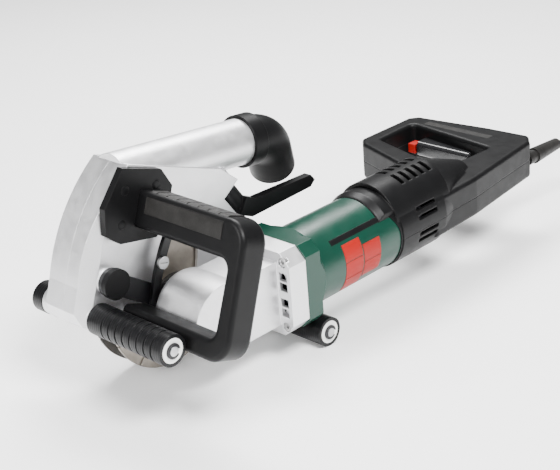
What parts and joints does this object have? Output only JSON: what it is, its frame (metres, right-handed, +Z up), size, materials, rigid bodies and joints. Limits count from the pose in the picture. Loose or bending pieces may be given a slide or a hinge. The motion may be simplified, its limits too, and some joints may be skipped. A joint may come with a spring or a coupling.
{
  "type": "wall chaser",
  "caption": "Wall chaser with spaced diamond discs under a plunging roller hood, front bail handle, dust pipe, clamp lever, motor and horizontal rear handle with mains cord.",
  "frame": {"origin": "bottom centre of the machine's box, without its cord, on the floor", "axes": "+X rearward along the motor to the cord, +Y across to the disc side, +Z up"},
  "size_m": [0.8516, 0.2196, 0.1994],
  "materials": {
    "cast_aluminium": "shot-blasted die casting",
    "black_plastic": "fine-grained glass-filled nylon",
    "black_steel": "black oxide",
    "roller_plastic": "moulded, turned smooth",
    "green_plastic": "satin glass-filled nylon",
    "soft_rubber": "ribbed soft grip",
    "cord_rubber": "rubber sheath",
    "red_plastic": "moulded red",
    "white_plastic": "moulded white",
    "screw_steel": "zinc plated",
    "machined_steel": "turned and ground",
    "disc_steel": "ground disc with sintered segments",
    "lamination_steel": "varnished laminations",
    "copper": "turned copper",
    "brass": "folded brass",
    "carbon": "pressed carbon",
    "inner_plastic": "plain moulding"
  },
  "bodies": {
    "motor_unit": {"gear_housing": "cast_aluminium", "gear_screws": "screw_steel", "bearing_flange": "cast_aluminium", "swing_arm": "black_steel", "motor_housing": "green_plastic", "field_stator": "lamination_steel", "baffle_ring": "white_plastic", "rear_bearing_seat": "machined_steel", "brush_holders": "brass", "carbon_brushes": "carbon", "rear_shell_upper": "black_plastic", "rear_shell_lower": "black_plastic", "soft_grip_inlay": "soft_rubber", "handle_screws": "screw_steel", "switch_module": "inner_plastic", "electronics_module": "inner_plastic", "strain_relief": "soft_rubber", "mains_cable": "cord_rubber", "cable_coil": "cord_rubber", "cable_tail": "cord_rubber", "plug_body": "cord_rubber", "plug_pins": "screw_steel"},
    "armature": {"armature_shaft": "machined_steel", "armature_core": "lamination_steel", "commutator": "copper", "cooling_fan": "inner_plastic", "armature_bearings": "machined_steel", "bevel_pinion": "machined_steel"},
    "spindle_unit": {"spindle": "machined_steel", "bevel_wheel": "machined_steel", "spindle_bearings": "machined_steel", "inner_flange": "machined_steel", "near_disc": "disc_steel", "far_disc": "disc_steel", "spacer_rings": "machined_steel", "clamp_nut": "machined_steel"},
    "hood": {"hood_near_casting": "cast_aluminium", "hood_far_casting": "cast_aluminium", "hood_screws": "screw_steel", "dust_pipe": "cast_aluminium", "clamp_stud": "screw_steel", "handle_flange": "black_plastic", "bail_handle": "black_plastic", "grip_sleeve": "soft_rubber", "handle_brace": "black_steel", "pivot_pin": "black_plastic", "return_spring": "machined_steel", "front_axle": "machined_steel", "rear_axle": "machined_steel", "end_washers": "white_plastic", "axle_clips": "black_steel"},
    "front_near_roller": {"front_near_roller": "roller_plastic"},
    "front_far_roller": {"front_far_roller": "roller_plastic"},
    "rear_near_roller": {"rear_near_roller": "roller_plastic"},
    "rear_far_roller": {"rear_far_roller": "roller_plastic"},
    "dust_elbow": {"dust_elbow": "black_plastic"},
    "clamp_lever": {"clamp_lever": "black_plastic"},
    "trigger": {"trigger": "black_plastic"},
    "lock_off_button": {"lock_off_button": "red_plastic"},
    "spindle_lock_button": {"spindle_lock_button": "black_plastic"}
  },
  "joints": [
    {"name": "plunge", "type": "hinge", "parent": "motor_unit", "child": "hood", "pos_m": [-0.24446, 0.01782, 0.10358], "axis": [0, 1, 0], "range_deg": [0, 28]},
    {"name": "spindle_spin", "type": "hinge", "parent": "motor_unit", "child": "spindle_unit", "pos_m": [-0.17876, -0.02218, 0.0625], "axis": [0, 1, 0], "continuous": true},
    {"name": "armature_spin", "type": "hinge", "parent": "motor_unit", "child": "armature", "pos_m": [-0.07887, -0.02218, 0.06704], "axis": [0.999, 0, 0.0454], "continuous": true},
    {"name": "front_near_roll", "type": "hinge", "parent": "hood", "child": "front_near_roller", "pos_m": [-0.25638, -0.02218, 0.07379], "axis": [0, 1, 0], "continuous": true},
    {"name": "front_far_roll", "type": "hinge", "parent": "hood", "child": "front_far_roller", "pos_m": [-0.25638, 0.08782, 0.07379], "axis": [0, 1, 0], "continuous": true},
    {"name": "rear_near_roll", "type": "hinge", "parent": "hood", "child": "rear_near_roller", "pos_m": [-0.06746, -0.02218, 0.0135], "axis": [0, 1, 0], "continuous": true},
    {"name": "rear_far_roll", "type": "hinge", "parent": "hood", "child": "rear_far_roller", "pos_m": [-0.06746, 0.07582, 0.0135], "axis": [0, 1, 0], "continuous": true},
    {"name": "elbow_swivel", "type": "hinge", "parent": "hood", "child": "dust_elbow", "pos_m": [-0.05527, 0.04382, 0.17011], "axis": [0.9986, 0, -0.0523], "range_deg": [0, 160]},
    {"name": "lever_turn", "type": "hinge", "parent": "hood", "child": "clamp_lever", "pos_m": [-0.0988, 0.03182, 0.13505], "axis": [0.606, 0, -0.7955], "range_deg": [-4.5, 0]},
    {"name": "trigger_press", "type": "slide", "parent": "motor_unit", "child": "trigger", "axis": [0.999, 0, 0.0454], "range_m": [0, 0.0045], "stiffness_N_per_m": 400, "springref_m": -0.002},
    {"name": "lock_off_press", "type": "slide", "parent": "motor_unit", "child": "lock_off_button", "axis": [0.999, 0, 0.0454], "range_m": [0, 0.0028], "stiffness_N_per_m": 300, "springref_m": -0.001},
    {"name": "spindle_lock_press", "type": "slide", "parent": "motor_unit", "child": "spindle_lock_button", "axis": [0, 1, 0], "range_m": [0, 0.0025], "stiffness_N_per_m": 500, "springref_m": -0.001}
  ],
  "couplings": [
    {"joint": "armature_spin", "follows": "spindle_spin", "ratio": 3.4286}
  ]
}
